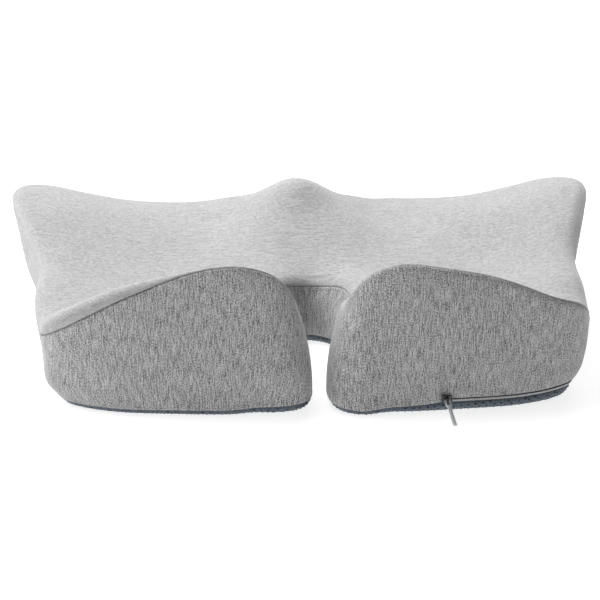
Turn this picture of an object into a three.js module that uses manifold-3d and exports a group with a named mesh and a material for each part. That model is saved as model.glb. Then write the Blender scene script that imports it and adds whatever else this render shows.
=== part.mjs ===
// A contoured memory foam seat cushion with a tailbone cut-out, in a zipped knitted cover.
// Millimetres. +Z is up and +Y is the way the sitter faces. The origin is on the underside, midway
// across and midway along the cushion, so the cut-out opens towards -Y.
import * as THREE from 'three';
import { mergeVertices } from 'three/addons/utils/BufferGeometryUtils.js';
import Module from 'manifold-3d';

// ---- Driving dimensions -------------------------------------------------------------------------

// The outer edge of the right half in plan, from the front centre round to the back of the
// cut-out, and the height of the crown above each point: [x, y, height].
const EDGE = {
  frontMid: [0, 156.5, 84],
  frontInner: [68.5, 173.5, 66],
  frontOuter: [138.5, 180, 64],
  frontCorner: [199.5, 173, 78.5],
  wing: [226.5, 135, 86.5],
  sideFront: [216.5, 70, 80],
  waist: [204, 10, 68],
  sideRear: [203.5, -50, 62.5],
  hip: [201, -101.5, 56],
  rearCorner: [194.5, -144.5, 68.5],
  rearOuter: [151, -168.5, 95],
  rearMid: [97, -177.2, 115],
  rearInner: [55.5, -180, 120.5],
  gapCorner: [27.5, -174, 107.5],
  mouth: [13.5, -150, 76.5],
  notchSide: [15.5, -104, 67.5],
  notchWide: [28.5, -63, 53.5],
  notchTurn: [23, -20.5, 54],
  notchBack: [0, -1, 52.5],
};

// The height of the crown inside the edge: the middle ridge, the thigh hollows, the seat and lobes.
const CROWN = [
  [0, 125, 88], [55, 115, 62], [115, 110, 64], [175, 110, 75],
  [0, 55, 62], [80, 40, 54], [150, 30, 59], [75, -40, 47],
  [140, -60, 51], [70, -85, 54], [0, 20, 52.5], [60, -150, 101],
  [60, -120, 80], [120, -145, 88], [120, -115, 68], [160, -115, 60],
];
const CROWN_STIFFNESS = 0.02; // how far the crown may pass from those heights, to stay smooth

const EDGE_RADIUS = 9;       // rounding of the top panel down to its seam
const BASE_RADIUS = 8;       // rounding of the base panel up to its seam
const SIDE_LEAN = 12;        // how far the outer walls draw in from the top seam to the base
const CUTOUT_LEAN = -7;      // the walls of the cut-out stand the other way
const WALL_BULGE = 2;        // fullness of the walls at half height
const CLEARANCE = 0.3;       // between pieces that touch
const FOAM_EASE = 0.6;       // between the foam and its cover

const TOP_THICKNESS = 1.6;   // knitted spacer fabric
const BOXING_THICKNESS = 1.6;
const BASE_THICKNESS = 1.2;  // non-slip fabric
const FOAM_BASE_RADIUS = 20;
const THREAD = 1;            // sewing thread, as a square section
const THREAD_INSET = 0.2;
const SEAM_GAP = 0.8;        // between the top seam's thread and the two cloths that it joins

const BASE_SEAM_Z = 6.6;     // upper edge of the base panel
const TAPE_WIDTH = 1.4;      // the part of each zip tape that shows
const TAPE_THICKNESS = 0.6;
const COIL_WIDTH = 1;
const COIL_PROUD = 0.3;
const COIL_DEPTH = 1.3;
const SLOT = 1.5;            // between the two coils, for the slider's post

// The slider's place at the closed end of the zip, in plan, and the way that it leaves it.
const SLIDER_PLACE = [88.5, -166.9];
const ZIP_HEADING = 6.7;     // degrees from +X towards +Y, along the right rear lobe
const WALL_SLOPE = 11.5;     // degrees that the wall leans out at the zip

const SLIDER_LENGTH = 7.4;
const SLIDER_WIDTH = 6;
const SLIDER_WALL = 0.8;
const POST_LENGTH = 2.4;
const POST_THICKNESS = 0.8;
const SLIDER_PLAY = 0.8;     // between a plate of the slider and the chain
const BRIDGE_WIDTH = 1.2;
const BRIDGE_HEIGHT = 2;     // the opening under the bridge
const BRIDGE_BAR = 1;
const BRIDGE_SPAN = 5.4;

const TAB_LENGTH = 28;
const TAB_EYE_WIDTH = 4.4;
const TAB_STEM_WIDTH = 2.6;
const TAB_TIP_WIDTH = 3.2;
const TAB_THICKNESS = 1;
const TAB_HOLE = [2.2, 5];   // width and length
const TAB_BAR = 0.5;         // from the pivot to each side of the bar in the eye
const TAB_DROOP = 21;        // degrees below level, with its tip just clear of the ground

const STOP_LENGTH = 2.2;

// ---- Materials ----------------------------------------------------------------------------------

const material = (color, roughness, metalness = 0) =>
  new THREE.MeshStandardMaterial({ color, roughness, metalness });

const FOAM = material(0xe9e2cf, 0.9);
const TOP_KNIT = material(0xc4c5c7, 0.95);
const BOXING_KNIT = material(0x919397, 0.95);
const BASE_CLOTH = material(0x5f6d7c, 0.9);
const SEWING_THREAD = material(0x9a9ca0, 0.8);
const TAPE = material(0xa9acb0, 0.9);
const COIL = material(0x24262a, 0.5);
const DARK_METAL = material(0x303236, 0.4, 1);
const BRIGHT_METAL = material(0xd0d2d4, 0.25, 1);

// ---- The edge of the cushion in plan ------------------------------------------------------------

const corners = Object.keys(EDGE);
const mirrored = ([x, y, z]) => [-x, y, z];
const halfEdge = Object.values(EDGE);
const wholeEdge = [...halfEdge, ...halfEdge.slice(1, -1).reverse().map(mirrored)];
const edgeCurve = new THREE.CatmullRomCurve3(
  wholeEdge.map((p) => new THREE.Vector3(...p)), true, 'catmullrom', 0.5);
const at = (name) => corners.indexOf(name);

// A station is a place on the edge. It is counted in named corners from the front centre, so that
// 2.5 is halfway from the third corner to the fourth.
function edgeStation(count) {
  const point = edgeCurve.getPoint(count / wholeEdge.length);
  const ahead = edgeCurve.getPoint((count + 0.01) / wholeEdge.length);
  const behind = edgeCurve.getPoint((count + wholeEdge.length - 0.01) % wholeEdge.length
    / wholeEdge.length);
  const along = ahead.sub(behind).setZ(0).normalize();
  const fromGap = Math.min(count, wholeEdge.length - count) - at('gapCorner');
  const inGap = THREE.MathUtils.smoothstep(fromGap, -1, 1);
  return {
    count,
    x: point.x,
    y: point.y,
    crown: point.z,
    outX: -along.y,
    outY: along.x,
    lean: THREE.MathUtils.lerp(SIDE_LEAN, CUTOUT_LEAN, inGap),
  };
}

// Stations spaced evenly along the edge from one corner to another, both included.
function evenStations(from, to, steps) {
  const fine = 30 * (to - from);
  const counts = Array.from({ length: fine + 1 }, (_, i) => from + (to - from) * i / fine);
  const lengths = [0];
  const places = counts.map((count) => edgeStation(count));
  for (let i = 1; i < places.length; i += 1) {
    const step = Math.hypot(places[i].x - places[i - 1].x, places[i].y - places[i - 1].y);
    lengths.push(lengths[i - 1] + step);
  }
  return Array.from({ length: steps + 1 }, (_, step) => {
    const wanted = lengths[fine] * step / steps;
    const next = Math.min(Math.max(lengths.findIndex((l) => l >= wanted - 1e-9), 1), fine);
    const part = (wanted - lengths[next - 1]) / (lengths[next] - lengths[next - 1]);
    return edgeStation(counts[next - 1] + (counts[next] - counts[next - 1]) * part);
  });
}

const mirrorStation = (s) =>
  ({ ...s, count: wholeEdge.length - s.count, x: -s.x, outX: -s.outX });

// The half edge has four sides, which the surface grids are stretched across.
const ACROSS = 9;            // steps along the front and along the rear
const CENTRE_STEPS = 7;      // steps along the centre line
const NOTCH_STEPS = 11;      // steps along the cut-out
const JOIN_STEPS = 1;        // steps from the middle of the cut-out's back to the boxing's join
const frontSide = evenStations(at('frontMid'), at('frontCorner'), ACROSS);
const outerSide = evenStations(at('frontCorner'), at('rearCorner'), CENTRE_STEPS + NOTCH_STEPS);
const rearSide = evenStations(at('rearCorner'), at('gapCorner'), ACROSS);
const notchSide = evenStations(at('gapCorner'), at('notchBack'), NOTCH_STEPS);
const halfRing = [...frontSide, ...outerSide.slice(1), ...rearSide.slice(1), ...notchSide.slice(1)];
const ring = [...halfRing, ...halfRing.slice(1, -1).reverse().map(mirrorStation)];

// ---- The crown: a thin plate passed through the heights of the edge and of the inside -----------

const plateKernel = (dx, dy) => {
  const squared = dx * dx + dy * dy;
  return squared > 0 ? squared * Math.log(Math.sqrt(squared)) / 1e4 : 0;
};

// Solves a small dense linear system by elimination with row exchanges.
function solve(rows, values) {
  const n = values.length;
  const system = rows.map((row, i) => [...row, values[i]]);
  for (let col = 0; col < n; col += 1) {
    let pivot = col;
    for (let row = col + 1; row < n; row += 1) {
      if (Math.abs(system[row][col]) > Math.abs(system[pivot][col])) pivot = row;
    }
    [system[col], system[pivot]] = [system[pivot], system[col]];
    for (let row = 0; row < n; row += 1) {
      if (row === col) continue;
      const factor = system[row][col] / system[col][col];
      for (let k = col; k <= n; k += 1) system[row][k] -= factor * system[col][k];
    }
  }
  return system.map((row, i) => row[n] / row[i]);
}

function fitCrown() {
  const inside = CROWN.flatMap((p) => (p[0] === 0 ? [p] : [p, mirrored(p)]));
  const knots = [...wholeEdge, ...inside];
  const rows = knots.map(([x, y], i) => [
    ...knots.map(([kx, ky], k) => plateKernel(x - kx, y - ky) + (i === k ? CROWN_STIFFNESS : 0)),
    1, x / 100, y / 100,
  ]);
  rows.push([...knots.map(() => 1), 0, 0, 0]);
  rows.push([...knots.map(([x]) => x / 100), 0, 0, 0]);
  rows.push([...knots.map(([, y]) => y / 100), 0, 0, 0]);
  const weights = solve(rows, [...knots.map((p) => p[2]), 0, 0, 0]);
  const [level, slopeX, slopeY] = weights.slice(knots.length);
  return (x, y) => knots.reduce(
    (sum, [kx, ky], k) => sum + weights[k] * plateKernel(x - kx, y - ky),
    level + slopeX * x / 100 + slopeY * y / 100);
}
const crownHeight = fitCrown();

// ---- The section of the cushion's edge ----------------------------------------------------------

const out = (s, offset, z) => new THREE.Vector3(s.x + s.outX * offset, s.y + s.outY * offset, z);
const topSeamZ = (s) => crownHeight(s.x, s.y) - EDGE_RADIUS;

// A point on the rounding of the top, turned `angle` from straight up, `inset` under the surface.
function topRound(s, angle, inset) {
  const radius = EDGE_RADIUS - inset;
  const offset = -EDGE_RADIUS + radius * Math.sin(angle);
  const inner = out(s, -EDGE_RADIUS, 0);
  const blend = 1 - Math.sin(angle);
  const edge = topSeamZ(s) + EDGE_RADIUS;
  const crown = THREE.MathUtils.lerp(edge, crownHeight(inner.x, inner.y), blend);
  return out(s, offset, crown - EDGE_RADIUS + radius * Math.cos(angle));
}

// How far the wall stands out from the edge at a height, before the base is rounded.
function leanOffset(s, z) {
  const t = Math.max(0, (z - BASE_RADIUS) / (topSeamZ(s) - BASE_RADIUS));
  return -s.lean * (1 - t) + WALL_BULGE * 4 * t * (1 - t);
}
function wallOffset(s, z) {
  const drop = Math.max(0, BASE_RADIUS - z);
  return leanOffset(s, z) - BASE_RADIUS + Math.sqrt(BASE_RADIUS ** 2 - drop ** 2);
}
const wall = (s, z, inset) => out(s, wallOffset(s, z) - inset, z);

// A point on the rounding of the base, turned `angle` from level, `inset` inside the surface.
function baseRound(s, angle, inset) {
  const radius = BASE_RADIUS - inset;
  const offset = -s.lean - BASE_RADIUS + radius * Math.cos(angle);
  return out(s, offset, BASE_RADIUS - radius * Math.sin(angle));
}

// ---- Closed bodies from quadrilaterals ----------------------------------------------------------

class Body {
  constructor() {
    this.corners = [];
  }

  triangle(a, b, c) {
    if (a.distanceTo(b) < 1e-6 || b.distanceTo(c) < 1e-6 || c.distanceTo(a) < 1e-6) return;
    this.corners.push(...a.toArray(), ...b.toArray(), ...c.toArray());
  }

  // Corners run anticlockwise, seen from outside.
  quad(a, b, c, d) {
    this.triangle(a, b, c);
    this.triangle(a, c, d);
  }

  // The same quad, split on the same diagonal, facing either way.
  facing(forward, a, b, c, d) {
    if (forward) this.quad(a, b, c, d);
    else this.quad(a, d, c, b);
  }

  // A band of quads between two lines of equal count. It faces out of the cushion.
  band(low, high, { closed = true, outward = true } = {}) {
    const spans = closed ? low.length : low.length - 1;
    for (let i = 0; i < spans; i += 1) {
      const j = (i + 1) % low.length;
      this.facing(outward, low[j], low[i], high[i], high[j]);
    }
  }

  // Both halves of a surface grid, facing up or down.
  cap(grid, up) {
    const flip = (p) => new THREE.Vector3(-p.x, p.y, p.z);
    for (let j = 0; j + 1 < grid.length; j += 1) {
      for (let i = 0; i + 1 < grid[j].length; i += 1) {
        const q = [grid[j][i], grid[j + 1][i], grid[j + 1][i + 1], grid[j][i + 1]];
        this.facing(up, ...q);
        this.facing(!up, ...q.map(flip));
      }
    }
  }

  geometry() {
    const soup = new THREE.BufferGeometry();
    soup.setAttribute('position', new THREE.Float32BufferAttribute(this.corners, 3));
    const merged = mergeVertices(soup, 1e-4);
    merged.computeVertexNormals();
    return merged;
  }
}

const mix = (a, b, t) => a.clone().lerp(b, t);

// A grid stretched over the half plan, inside the ring of points that `place` gives for stations.
// `height` then gives each inside point its z.
function halfGrid(place, height) {
  const front = frontSide.map(place);
  const outer = outerSide.map(place);
  const rear = rearSide.map(place).reverse();
  const notch = notchSide.map(place).reverse();
  const centre = Array.from({ length: CENTRE_STEPS + 1 }, (_, i) =>
    mix(front[0], notch[0], i / CENTRE_STEPS));
  const inner = [...centre, ...notch.slice(1)];
  return outer.map((outerPoint, j) => front.map((frontPoint, i) => {
    const u = i / ACROSS;
    const v = j / (outer.length - 1);
    const sides = mix(inner[j], outerPoint, u).add(mix(frontPoint, rear[i], v));
    const ends = mix(mix(inner[0], outer[0], u), mix(rear[0], rear[ACROSS], u), v);
    const point = sides.sub(ends);
    const onRing = i === ACROSS || j === 0 || j === outer.length - 1 || (i === 0 && j >= CENTRE_STEPS);
    if (!onRing) point.z = height(point.x, point.y);
    return point;
  }));
}

const angles = (from, to, steps) =>
  Array.from({ length: steps + 1 }, (_, i) => (from + (to - from) * i / steps) * Math.PI / 180);

// Adds the crown and its rounding, `inset` under the cover's surface. Returns the lowest ring.
function addTop(body, inset, outward) {
  const grid = halfGrid((s) => topRound(s, 0, inset), (x, y) => crownHeight(x, y) - inset);
  body.cap(grid, outward);
  const rings = angles(0, 90, 3).map((angle) => ring.map((s) => topRound(s, angle, inset)));
  for (let i = 0; i + 1 < rings.length; i += 1) {
    body.band(rings[i + 1], rings[i], { outward });
  }
  return rings[rings.length - 1];
}

// Adds a base and its rounding. Returns the highest ring.
function addBase(body, rings, outward) {
  const flatZ = rings[0][0].z;
  const lowest = new Map(ring.map((s, i) => [s.count, rings[0][i]]));
  body.cap(halfGrid((s) => lowest.get(s.count), () => flatZ), !outward);
  for (let i = 0; i + 1 < rings.length; i += 1) {
    body.band(rings[i], rings[i + 1], { outward });
  }
  return rings[rings.length - 1];
}

// A ribbon of cloth, tape or thread that follows the wall: `outside` and `inside` list its lines
// from the lowest to the highest.
function ribbon(outside, inside, closed) {
  const body = new Body();
  const last = outside.length - 1;
  for (let i = 0; i < last; i += 1) {
    body.band(outside[i], outside[i + 1], { closed });
    body.band(inside[i], inside[i + 1], { closed, outward: false });
  }
  body.band(outside[last], inside[last], { closed });
  body.band(inside[0], outside[0], { closed });
  if (!closed) {
    const end = outside[0].length - 1;
    for (let i = 0; i < last; i += 1) {
      body.quad(outside[i][0], inside[i][0], inside[i + 1][0], outside[i + 1][0]);
      body.quad(outside[i][end], outside[i + 1][end], inside[i + 1][end], inside[i][end]);
    }
  }
  return body.geometry();
}

function wallRibbon(stations, heights, outerInset, innerInset, closed = false) {
  const line = (height, inset) => stations.map((s) => wall(s, height(s), inset));
  return ribbon(
    heights.map((height) => line(height, outerInset)),
    heights.map((height) => line(height, innerInset)),
    closed);
}

// ---- The zip's levels and ends ------------------------------------------------------------------

const threadLowZ = BASE_SEAM_Z + CLEARANCE;
const lowerTapeZ = threadLowZ + THREAD + CLEARANCE;
const lowerCoilZ = lowerTapeZ + TAPE_WIDTH + CLEARANCE;
const slotZ = lowerCoilZ + COIL_WIDTH;
const upperCoilZ = slotZ + SLOT;
const upperTapeZ = upperCoilZ + COIL_WIDTH + CLEARANCE;
const boxingOverZipZ = upperTapeZ + TAPE_WIDTH + CLEARANCE;
const zipZ = slotZ + SLOT / 2;

// The station whose wall, at the zip, lies `mm` along the zip from the slider's place.
function stationAlongZip(mm) {
  const heading = THREE.MathUtils.degToRad(ZIP_HEADING);
  let low = at('rearOuter');
  let high = at('rearInner');
  for (let i = 0; i < 40; i += 1) {
    const middle = (low + high) / 2;
    const p = wall(edgeStation(middle), zipZ, 0);
    const along = (p.x - SLIDER_PLACE[0]) * Math.cos(heading)
      + (p.y - SLIDER_PLACE[1]) * Math.sin(heading);
    if (along > mm) low = middle;
    else high = middle;
  }
  return edgeStation((low + high) / 2);
}

const COIL_START = -5.2;     // along the zip from the slider's place
const TAPE_START = -12;
// The open end of the zip lies on the left side, ahead of the rear corner.
const CHAIN_END = wholeEdge.length - 8.7;
const RETAINER_SPAN = [0.02, 0.1]; // past the end of the chain, counted in corners
const chainEnd = edgeStation(CHAIN_END);
const tapeEnd = edgeStation(CHAIN_END - 0.15);

// The zip runs from the right rear lobe round the right side and the front to the left side.
const halfTurn = wholeEdge.length / 2;
const alongZip = (s) => (s.count > halfTurn ? s.count - wholeEdge.length : s.count);

function zipStations(first, last) {
  const inner = ring.filter((s) => alongZip(s) < alongZip(first) && alongZip(s) > alongZip(last));
  inner.sort((a, b) => alongZip(a) - alongZip(b));
  return [last, ...inner, first];
}
const tapeStations = zipStations(stationAlongZip(TAPE_START), tapeEnd);
const coilStations = zipStations(stationAlongZip(COIL_START), chainEnd);

// The boxing steps up over the zip. The step's two sides stand just past the ends of the tapes.
const STEP_SIDES = [0.01, 0.04];
const stepMiddle = (STEP_SIDES[0] + STEP_SIDES[1]) / 2;
const tapeFirst = alongZip(tapeStations[tapeStations.length - 1]);
const tapeLast = alongZip(tapeStations[0]);
const overZip = (s) => alongZip(s) < tapeFirst + stepMiddle && alongZip(s) > tapeLast - stepMiddle;
const boxingLowZ = (s) => (overZip(s) ? boxingOverZipZ : lowerTapeZ);
const steps = STEP_SIDES.flatMap((past) => [
  edgeStation(tapeFirst + past),
  edgeStation(wholeEdge.length + tapeLast - past),
]);

// ---- Foam and cover -----------------------------------------------------------------------------

const level = (z) => () => z;

const foamRoundZ = BASE_THICKNESS + CLEARANCE + FOAM_BASE_RADIUS;
const wallMiddleZ = (s) => (foamRoundZ + topSeamZ(s)) / 2;

function foamRound(s, angle, inset) {
  const z = foamRoundZ - FOAM_BASE_RADIUS * Math.sin(angle);
  const drawnIn = inset + FOAM_BASE_RADIUS * (1 - Math.cos(angle));
  return out(s, leanOffset(s, z) - drawnIn, z);
}

function foamCore() {
  const body = new Body();
  const inset = TOP_THICKNESS + FOAM_EASE;
  const rim = addTop(body, inset, true);
  const middle = ring.map((s) => wall(s, wallMiddleZ(s), inset));
  const rounds = angles(90, 0, 3).map((angle) => ring.map((s) => foamRound(s, angle, inset)));
  const high = addBase(body, rounds, true);
  body.band(high, middle);
  body.band(middle, rim);
  return body.geometry();
}

function topPanel() {
  const body = new Body();
  const outerRim = addTop(body, 0, true);
  const innerRim = addTop(body, TOP_THICKNESS, false);
  body.band(innerRim, outerRim);
  return body.geometry();
}

function basePanel() {
  const body = new Body();
  const edgeAngle = Math.asin((BASE_RADIUS - BASE_SEAM_Z) / BASE_RADIUS) * 180 / Math.PI;
  const rings = (inset) => angles(90, edgeAngle, 2).map(
    (angle) => ring.map((s) => baseRound(s, angle, inset)));
  const outerEdge = addBase(body, rings(0), true);
  const innerEdge = addBase(body, rings(BASE_THICKNESS), false);
  body.band(outerEdge, innerEdge);
  return body.geometry();
}

const boxingTopZ = (s) => topSeamZ(s) - 2 * SEAM_GAP - THREAD;

function boxing(stations) {
  const levels = [boxingLowZ, level(foamRoundZ), wallMiddleZ, boxingTopZ];
  return wallRibbon(stations, levels, 0, BOXING_THICKNESS);
}

// Draws the first station of a ribbon on, to leave the gap of a join.
function openJoin(stations) {
  const [first, second] = stations;
  const run = Math.hypot(second.x - first.x, second.y - first.y);
  const part = CLEARANCE / run;
  const start = { ...first };
  for (const key of ['x', 'y', 'outX', 'outY', 'lean']) {
    start[key] += (second[key] - first[key]) * part;
  }
  return [start, ...stations.slice(1)];
}

// The boxing is two lengths of cloth, joined at the front centre and beside the back of the
// cut-out, left of its middle.
const boxingRing = [...ring, ...steps].sort((a, b) => a.count - b.count);
const joinIndex = boxingRing.indexOf(ring[halfRing.length - 1 + JOIN_STEPS]);
const rightBoxing = openJoin(boxingRing.slice(0, joinIndex + 1));
const leftBoxing = openJoin([...boxingRing.slice(joinIndex), boxingRing[0]]);

function threadRing(lowZ) {
  const heights = [lowZ, (s) => lowZ(s) + THREAD];
  return wallRibbon(ring, heights, THREAD_INSET, THREAD_INSET + THREAD, true);
}

// ---- Zip ----------------------------------------------------------------------------------------

const tape = (lowZ) =>
  wallRibbon(tapeStations, [level(lowZ), level(lowZ + TAPE_WIDTH)], 0, TAPE_THICKNESS);
const coil = (lowZ) =>
  wallRibbon(coilStations, [level(lowZ), level(lowZ + COIL_WIDTH)], -COIL_PROUD, COIL_DEPTH);

// A stop clenched on the edge of a tape, at the end of its coil.
function stop(lowZ) {
  const ends = [COIL_START - CLEARANCE, COIL_START - CLEARANCE - STOP_LENGTH].map(stationAlongZip);
  return wallRibbon(ends, [level(lowZ), level(lowZ + COIL_WIDTH)], -COIL_PROUD, COIL_DEPTH);
}

// The box that holds the two tapes together at the open end of the chain, past the last coil turn.
function retainer() {
  const [near, far] = RETAINER_SPAN.map((past) => edgeStation(CHAIN_END - past));
  return wallRibbon(
    [far, near], [level(lowerCoilZ), level(upperCoilZ + COIL_WIDTH)], -COIL_PROUD, COIL_DEPTH);
}

// ---- Slider and pull tab, in their own frame: +X along the zip, +Y into the cushion, +Z up ------

const box = (width, depth, height, x, y, z) =>
  new THREE.BoxGeometry(width, depth, height).translate(x, y, z);

function join(manifold, parts) {
  const solids = parts.map((part) => {
    part.deleteAttribute('normal');
    part.deleteAttribute('uv');
    const merged = mergeVertices(part, 1e-4);
    return new manifold.Manifold(new manifold.Mesh({
      numProp: 3,
      vertProperties: new Float32Array(merged.attributes.position.array),
      triVerts: new Uint32Array(merged.index.array),
    }));
  });
  const mesh = solids.reduce((whole, solid) => whole.add(solid)).getMesh();
  const geometry = new THREE.BufferGeometry();
  geometry.setAttribute('position', new THREE.BufferAttribute(mesh.vertProperties, 3));
  geometry.setIndex(new THREE.BufferAttribute(mesh.triVerts, 1));
  geometry.computeVertexNormals();
  return geometry;
}

const outerFaceY = -COIL_PROUD - SLIDER_PLAY;
const innerFaceY = COIL_DEPTH + SLIDER_PLAY;
const plateOutY = outerFaceY - SLIDER_WALL;
const pivotY = plateOutY - BRIDGE_HEIGHT / 2;

// Two plates held apart by the post that parts the coils, with the bridge for the tab cast on.
function sliderBody(manifold) {
  const plate = (y) => box(SLIDER_LENGTH, SLIDER_WALL, SLIDER_WIDTH, 0, y, 0);
  const postX = SLIDER_LENGTH / 2 - POST_LENGTH / 2;
  const postDepth = innerFaceY - outerFaceY + SLIDER_WALL;
  const postY = (innerFaceY + outerFaceY) / 2;
  const legZ = (BRIDGE_SPAN - BRIDGE_BAR) / 2;
  const legDepth = BRIDGE_HEIGHT + BRIDGE_BAR + SLIDER_WALL / 2;
  const legY = plateOutY + SLIDER_WALL / 2 - legDepth / 2;
  const barY = plateOutY - BRIDGE_HEIGHT - BRIDGE_BAR / 2;
  return join(manifold, [
    plate(outerFaceY - SLIDER_WALL / 2),
    plate(innerFaceY + SLIDER_WALL / 2),
    box(POST_LENGTH, postDepth, POST_THICKNESS, postX, postY, 0),
    box(BRIDGE_WIDTH, legDepth, BRIDGE_BAR, 0, legY, legZ),
    box(BRIDGE_WIDTH, legDepth, BRIDGE_BAR, 0, legY, -legZ),
    box(BRIDGE_WIDTH, BRIDGE_BAR, BRIDGE_SPAN, 0, barY, 0),
  ]);
}

// The tab lies along +Y of its shape from the pivot in its eye, and is then turned outwards.
function pullTab() {
  const eye = TAB_EYE_WIDTH / 2;
  const stem = TAB_STEM_WIDTH / 2;
  const tip = TAB_TIP_WIDTH / 2;
  const eyeEnd = TAB_BAR + TAB_HOLE[1] + 1;
  const outline = new THREE.Shape();
  outline.moveTo(-eye, eyeEnd);
  outline.lineTo(-eye, TAB_BAR / 2);
  outline.quadraticCurveTo(-eye, -TAB_BAR, -eye + 2 * TAB_BAR, -TAB_BAR);
  outline.lineTo(eye - 2 * TAB_BAR, -TAB_BAR);
  outline.quadraticCurveTo(eye, -TAB_BAR, eye, TAB_BAR / 2);
  outline.lineTo(eye, eyeEnd);
  outline.quadraticCurveTo(stem, eyeEnd + 1, stem, eyeEnd + 3);
  outline.lineTo(tip, TAB_LENGTH - tip);
  outline.absarc(0, TAB_LENGTH - tip, tip, 0, Math.PI);
  outline.lineTo(-stem, eyeEnd + 3);
  outline.quadraticCurveTo(-stem, eyeEnd + 1, -eye, eyeEnd);
  const half = TAB_HOLE[0] / 2;
  const hole = new THREE.Path();
  hole.moveTo(-half, TAB_BAR);
  hole.lineTo(-half, TAB_BAR + TAB_HOLE[1]);
  hole.lineTo(half, TAB_BAR + TAB_HOLE[1]);
  hole.lineTo(half, TAB_BAR);
  outline.holes.push(hole);
  const plate = new THREE.ExtrudeGeometry(
    outline, { depth: TAB_THICKNESS, bevelEnabled: false, curveSegments: 6 });
  return plate.translate(0, 0, -TAB_THICKNESS / 2).rotateZ(Math.PI);
}

// ---- Assembly -----------------------------------------------------------------------------------

const manifold = await Module();
manifold.setup();

function named(name, geometry, finish) {
  const mesh = new THREE.Mesh(geometry, finish);
  mesh.name = name;
  return mesh;
}

// The slider's frame stands at the closed end of the zip, turned to the zip and to the wall.
function sliderFrame() {
  const frame = new THREE.Group();
  const { degToRad } = THREE.MathUtils;
  frame.position.set(...SLIDER_PLACE, zipZ);
  frame.rotation.set(degToRad(WALL_SLOPE), 0, degToRad(ZIP_HEADING), 'ZYX');
  const tab = named('pull_tab', pullTab(), BRIGHT_METAL);
  tab.position.set(0, pivotY, 0);
  tab.rotation.x = degToRad(TAB_DROOP - WALL_SLOPE);
  frame.add(named('slider_body', sliderBody(manifold), DARK_METAL), tab);
  return frame;
}

const cushion = new THREE.Group();
cushion.add(
  named('foam_core', foamCore(), FOAM),
  named('top_panel', topPanel(), TOP_KNIT),
  named('boxing_right', boxing(rightBoxing), BOXING_KNIT),
  named('boxing_left', boxing(leftBoxing), BOXING_KNIT),
  named('base_panel', basePanel(), BASE_CLOTH),
  named('top_seam_thread', threadRing((s) => boxingTopZ(s) + SEAM_GAP), SEWING_THREAD),
  named('base_seam_thread', threadRing(level(threadLowZ)), SEWING_THREAD),
  named('zip_tape_lower', tape(lowerTapeZ), TAPE),
  named('zip_tape_upper', tape(upperTapeZ), TAPE),
  named('zip_coil_lower', coil(lowerCoilZ), COIL),
  named('zip_coil_upper', coil(upperCoilZ), COIL),
  named('zip_stop_lower', stop(lowerCoilZ), DARK_METAL),
  named('zip_stop_upper', stop(upperCoilZ), DARK_METAL),
  named('zip_retainer', retainer(), DARK_METAL),
  sliderFrame(),
);

export default cushion;
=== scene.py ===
# A contoured foam seat cushion with a tailbone cut-out, in a zipped two-tone knitted cover.
# Metres. +Z is up, +Y is the way the sitter faces, and the cut-out opens towards -Y.
import math
import bmesh
import bpy
import numpy as np
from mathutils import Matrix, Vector
from mathutils.kdtree import KDTree


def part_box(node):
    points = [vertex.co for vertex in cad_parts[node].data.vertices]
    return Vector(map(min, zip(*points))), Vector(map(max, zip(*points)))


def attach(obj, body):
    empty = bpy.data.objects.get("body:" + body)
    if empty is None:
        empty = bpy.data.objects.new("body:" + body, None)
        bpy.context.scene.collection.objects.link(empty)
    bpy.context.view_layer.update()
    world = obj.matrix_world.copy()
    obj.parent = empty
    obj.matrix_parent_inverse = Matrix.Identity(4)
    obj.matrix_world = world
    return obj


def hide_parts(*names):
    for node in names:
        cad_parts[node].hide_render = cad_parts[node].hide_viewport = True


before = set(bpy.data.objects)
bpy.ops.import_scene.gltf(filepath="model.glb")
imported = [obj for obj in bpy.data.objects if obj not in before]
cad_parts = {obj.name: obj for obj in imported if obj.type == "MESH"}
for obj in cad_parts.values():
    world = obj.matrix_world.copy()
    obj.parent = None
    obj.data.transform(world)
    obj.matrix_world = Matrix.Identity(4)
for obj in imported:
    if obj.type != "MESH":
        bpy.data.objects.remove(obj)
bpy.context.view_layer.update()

# ---- Foam core ----------------------------------------------------------------------------------
# One moulding of slow memory foam: raised lobes at the rear, two thigh hollows with a ridge
# between them, and a cut-out under the tailbone. It is cast in a closed mould, so its skin is
# smooth, and the cover is pulled over it and zipped shut.

# The outer edge of the right half in plan, from the front centre round to the back of the
# cut-out, and the height of the crown above it, in millimetres.
EDGE = [
    (0, 156.5, 84), (68.5, 173.5, 66), (138.5, 180, 64), (199.5, 173, 78.5), (226.5, 135, 86.5),
    (216.5, 70, 80), (204, 10, 68), (203.5, -50, 62.5), (201, -101.5, 56), (194.5, -144.5, 68.5),
    (151, -168.5, 95), (97, -177.2, 115), (55.5, -180, 120.5), (27.5, -174, 107.5),
    (13.5, -150, 76.5), (15.5, -104, 67.5), (28.5, -63, 53.5), (23, -20.5, 54), (0, -1, 52.5),
]
# The corners of the half edge, as places in that list. A station is a place counted like this.
FRONT_MID, FRONT_CORNER, REAR_CORNER, GAP_CORNER, NOTCH_BACK = 0, 3, 9, 13, 18
TURN = 2 * NOTCH_BACK
# The height of the crown inside the edge.
CROWN = [
    (0, 125, 88), (55, 115, 62), (115, 110, 64), (175, 110, 75), (0, 55, 62), (80, 40, 54),
    (150, 30, 59), (75, -40, 47), (140, -60, 51), (70, -85, 54), (0, 20, 52.5), (60, -150, 101),
    (60, -120, 80), (120, -145, 88), (120, -115, 68), (160, -115, 60),
]
CROWN_STIFFNESS = 0.02
EDGE_RADIUS = 9.0
BASE_RADIUS = 8.0
SIDE_LEAN, CUTOUT_LEAN = 12.0, -7.0
WALL_BULGE = 2.0

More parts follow.
